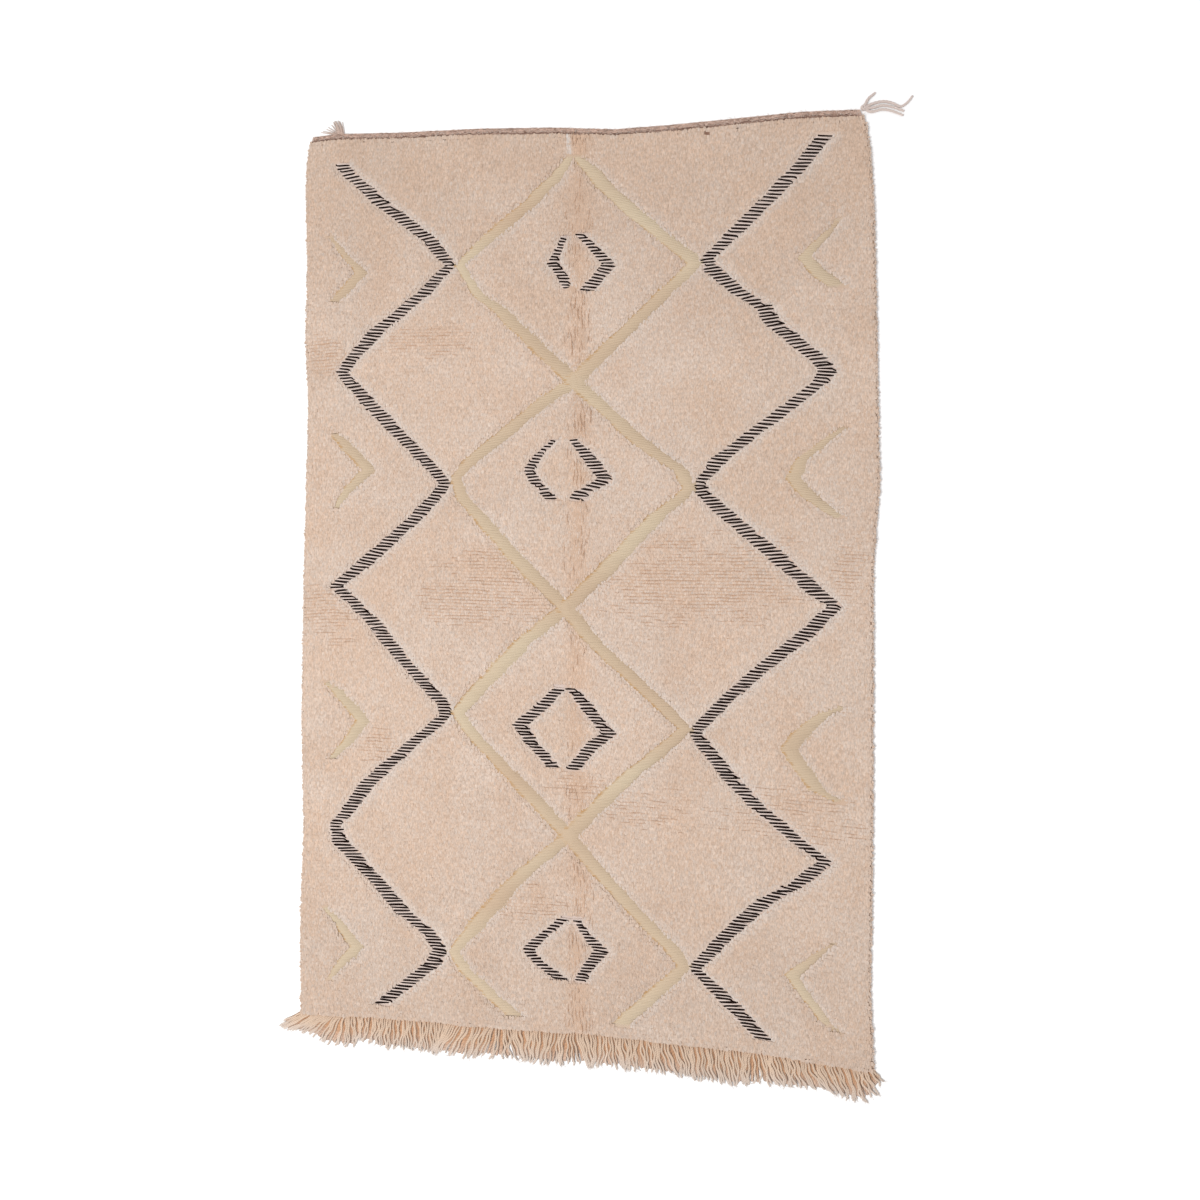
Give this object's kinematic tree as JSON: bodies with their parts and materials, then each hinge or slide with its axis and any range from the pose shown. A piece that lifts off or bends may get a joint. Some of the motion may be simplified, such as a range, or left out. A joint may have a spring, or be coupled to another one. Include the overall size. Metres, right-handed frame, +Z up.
{
  "type": "beni ourain rug",
  "caption": "Hand-knotted wool rug lying flat, cream pile with flat-woven dark zigzags, small dark lozenges and a khaki lozenge lattice, fringed at one end.",
  "frame": {"origin": "middle of the underside, under the centre of the whole rug with its fringe and tassels", "axes": "+X across the rug to the right seen from above, +Y along it away from the fringe, +Z up out of the floor"},
  "size_m": [1.7035, 2.6256, 0.0173],
  "materials": {
    "pile_wool": "matt knotted wool pile with a soft sheen",
    "fringe_wool": "matt spun wool warp ends",
    "tassel_wool": "matt spun wool",
    "tuft_wool": "matt spun wool"
  },
  "bodies": {
    "root": {"rug_body": "pile_wool", "fringe": "fringe_wool", "corner_tassel": "tassel_wool", "corner_tuft": "tuft_wool"}
  },
  "joints": []
}
